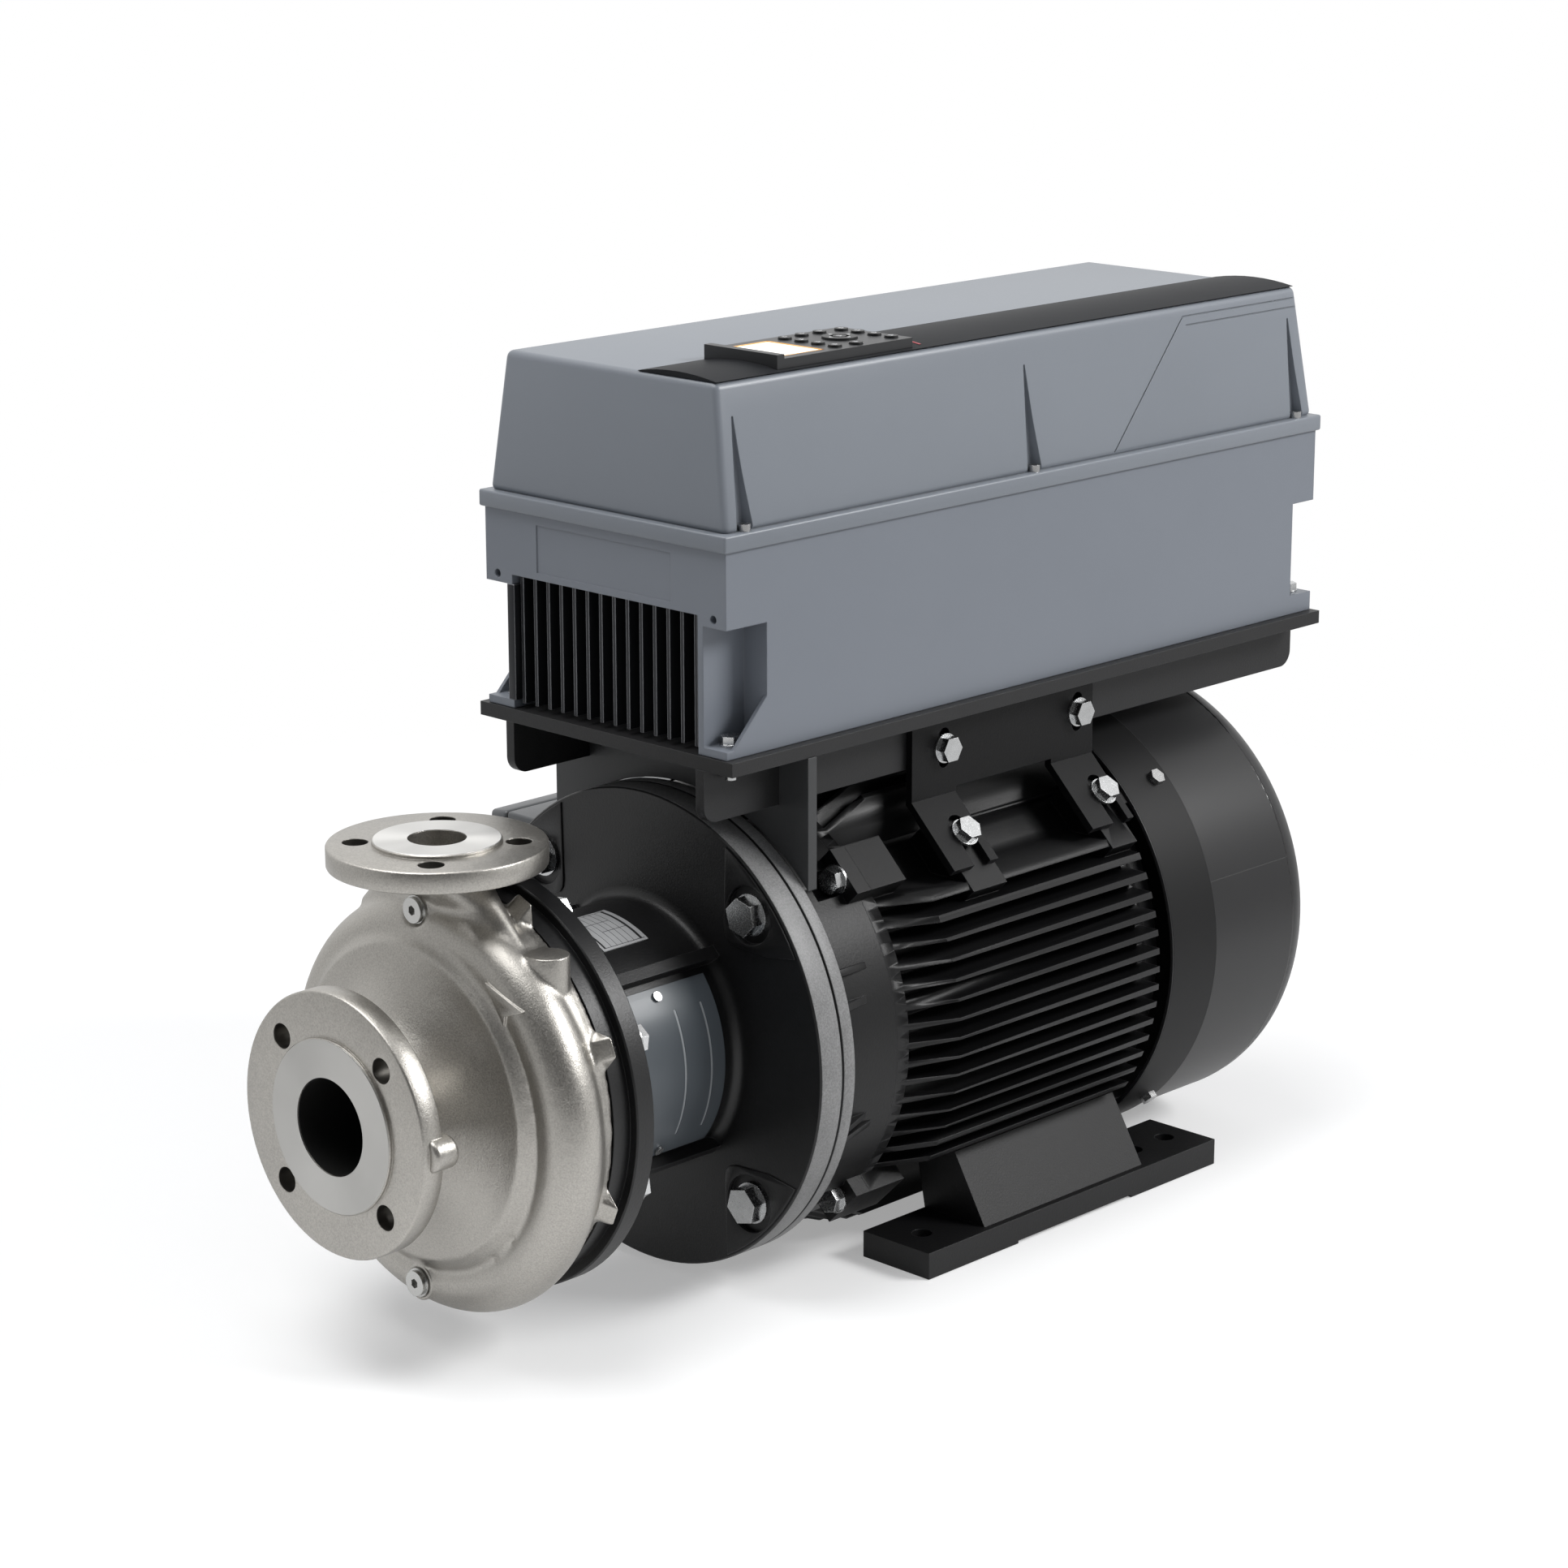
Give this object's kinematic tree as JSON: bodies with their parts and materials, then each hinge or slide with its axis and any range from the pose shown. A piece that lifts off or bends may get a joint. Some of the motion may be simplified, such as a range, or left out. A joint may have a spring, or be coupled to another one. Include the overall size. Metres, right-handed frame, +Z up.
{
  "type": "close-coupled pump",
  "caption": "Close-coupled end-suction pump: stainless volute casing, stool with guards, black finned motor on feet, and a frequency drive with a keypad on a deck above the motor.",
  "frame": {"origin": "centre of the suction flange's raised face, on the shaft axis", "axes": "+X along the shaft from the suction towards the motor, +Z up through the discharge, feet at z = -0.18 m"},
  "size_m": [0.906, 0.438, 0.67],
  "materials": {
    "cast_stainless": "blasted casting with turned faces",
    "stainless": "turned",
    "stainless_impeller": "cast and ground",
    "stainless_shaft": "turned",
    "key_steel": "drawn",
    "cover_stainless": "cast and turned",
    "black_rubber": "moulded",
    "seal_ceramic": "lapped silicon carbide",
    "seal_steel": "turned",
    "zinc_bolts": "bright zinc",
    "black_cast_iron": "satin black paint over a casting",
    "guard_steel": "dark grey satin sheet",
    "screw_steel": "plain",
    "plate_metal": "blank brushed plate",
    "black_shield": "satin black paint over a casting",
    "black_frame": "satin black paint over a casting",
    "core_steel": "stacked sheet steel",
    "copper_winding": "varnished copper",
    "shaft_steel": "ground",
    "bearing_steel": "ground and polished",
    "fan_plastic": "moulded",
    "black_sheet": "satin black paint on pressed sheet",
    "black_feet": "satin black paint over a casting",
    "black_box": "satin black paint over a casting",
    "black_deck": "textured black powder coat",
    "black_bracket": "textured black powder coat",
    "drive_grey": "satin blue-grey paint on cast aluminium",
    "heat_sink_aluminium": "extruded",
    "lid_grey": "satin blue-grey moulding",
    "strip_plastic": "dark satin",
    "panel_plastic": "dark satin",
    "key_plastic": "soft grey keys"
  },
  "bodies": {
    "housing": {"pump_casing": "cast_stainless", "casing_plugs": "stainless", "casing_wear_ring": "stainless", "pump_cover": "cover_stainless", "cover_o_ring": "black_rubber", "seal_seat": "seal_ceramic", "casing_bolts": "zinc_bolts", "motor_stool": "black_cast_iron", "guard_plates": "guard_steel", "guard_screws": "screw_steel", "name_plate": "plate_metal", "stool_bolts": "zinc_bolts", "drive_end_shield": "black_shield", "motor_frame": "black_frame", "shield_bolts": "zinc_bolts", "stator_core": "core_steel", "stator_windings": "copper_winding", "bearing_outer_rings": "bearing_steel", "bearing_balls": "bearing_steel", "rear_end_shield": "black_shield", "fan_cover": "black_sheet", "fan_cover_screws": "screw_steel", "motor_feet": "black_feet", "drive_bolts": "zinc_bolts", "terminal_box": "black_box", "terminal_box_lid": "black_box", "support_plate": "black_deck", "support_rails": "black_deck", "cross_plate": "black_deck", "side_brackets": "black_bracket", "bracket_bolts": "zinc_bolts", "drive_base": "drive_grey", "heat_sink": "heat_sink_aluminium", "drive_lid": "lid_grey", "lid_screws": "screw_steel", "lid_trim_strip": "strip_plastic", "control_panel": "panel_plastic"},
    "rotor": {"impeller": "stainless_impeller", "impeller_nut": "stainless", "pump_shaft": "stainless_shaft", "shaft_keys": "key_steel", "seal_head": "seal_steel", "seal_bellows": "black_rubber", "rotor_core": "core_steel", "motor_shaft": "shaft_steel", "bearing_inner_rings": "bearing_steel", "cooling_fan": "fan_plastic"},
    "status_key_cap": {"status_key": "key_plastic"},
    "quick_menu_key_cap": {"quick_menu_key": "key_plastic"},
    "main_menu_key_cap": {"main_menu_key": "key_plastic"},
    "alarm_log_key_cap": {"alarm_log_key": "key_plastic"},
    "back_key_cap": {"back_key": "key_plastic"},
    "cancel_key_cap": {"cancel_key": "key_plastic"},
    "info_key_cap": {"info_key": "key_plastic"},
    "hand_on_key_cap": {"hand_on_key": "key_plastic"},
    "off_key_cap": {"off_key": "key_plastic"},
    "auto_on_key_cap": {"auto_on_key": "key_plastic"},
    "reset_key_cap": {"reset_key": "key_plastic"},
    "ok_key_cap": {"ok_key": "key_plastic"},
    "arrow_ring_key_cap": {"arrow_ring_key": "key_plastic"}
  },
  "joints": [
    {"name": "shaft_spin", "type": "hinge", "parent": "housing", "child": "rotor", "pos_m": [0.3, 0, 0], "axis": [1, 0, 0], "continuous": true},
    {"name": "status_key_press", "type": "slide", "parent": "housing", "child": "status_key_cap", "axis": [0, 0, -1], "range_m": [0, 0.0008], "stiffness_N_per_m": 400, "springref_m": -0.003},
    {"name": "quick_menu_key_press", "type": "slide", "parent": "housing", "child": "quick_menu_key_cap", "axis": [0, 0, -1], "range_m": [0, 0.0008], "stiffness_N_per_m": 400, "springref_m": -0.003},
    {"name": "main_menu_key_press", "type": "slide", "parent": "housing", "child": "main_menu_key_cap", "axis": [0, 0, -1], "range_m": [0, 0.0008], "stiffness_N_per_m": 400, "springref_m": -0.003},
    {"name": "alarm_log_key_press", "type": "slide", "parent": "housing", "child": "alarm_log_key_cap", "axis": [0, 0, -1], "range_m": [0, 0.0008], "stiffness_N_per_m": 400, "springref_m": -0.003},
    {"name": "back_key_press", "type": "slide", "parent": "housing", "child": "back_key_cap", "axis": [0, 0, -1], "range_m": [0, 0.0008], "stiffness_N_per_m": 400, "springref_m": -0.003},
    {"name": "cancel_key_press", "type": "slide", "parent": "housing", "child": "cancel_key_cap", "axis": [0, 0, -1], "range_m": [0, 0.0008], "stiffness_N_per_m": 400, "springref_m": -0.003},
    {"name": "info_key_press", "type": "slide", "parent": "housing", "child": "info_key_cap", "axis": [0, 0, -1], "range_m": [0, 0.0008], "stiffness_N_per_m": 400, "springref_m": -0.003},
    {"name": "hand_on_key_press", "type": "slide", "parent": "housing", "child": "hand_on_key_cap", "axis": [0, 0, -1], "range_m": [0, 0.0008], "stiffness_N_per_m": 400, "springref_m": -0.003},
    {"name": "off_key_press", "type": "slide", "parent": "housing", "child": "off_key_cap", "axis": [0, 0, -1], "range_m": [0, 0.0008], "stiffness_N_per_m": 400, "springref_m": -0.003},
    {"name": "auto_on_key_press", "type": "slide", "parent": "housing", "child": "auto_on_key_cap", "axis": [0, 0, -1], "range_m": [0, 0.0008], "stiffness_N_per_m": 400, "springref_m": -0.003},
    {"name": "reset_key_press", "type": "slide", "parent": "housing", "child": "reset_key_cap", "axis": [0, 0, -1], "range_m": [0, 0.0008], "stiffness_N_per_m": 400, "springref_m": -0.003},
    {"name": "ok_key_press", "type": "slide", "parent": "housing", "child": "ok_key_cap", "axis": [0, 0, -1], "range_m": [0, 0.0008], "stiffness_N_per_m": 400, "springref_m": -0.003},
    {"name": "arrow_ring_key_press", "type": "slide", "parent": "housing", "child": "arrow_ring_key_cap", "axis": [0, 0, -1], "range_m": [0, 0.0008], "stiffness_N_per_m": 400, "springref_m": -0.003}
  ]
}
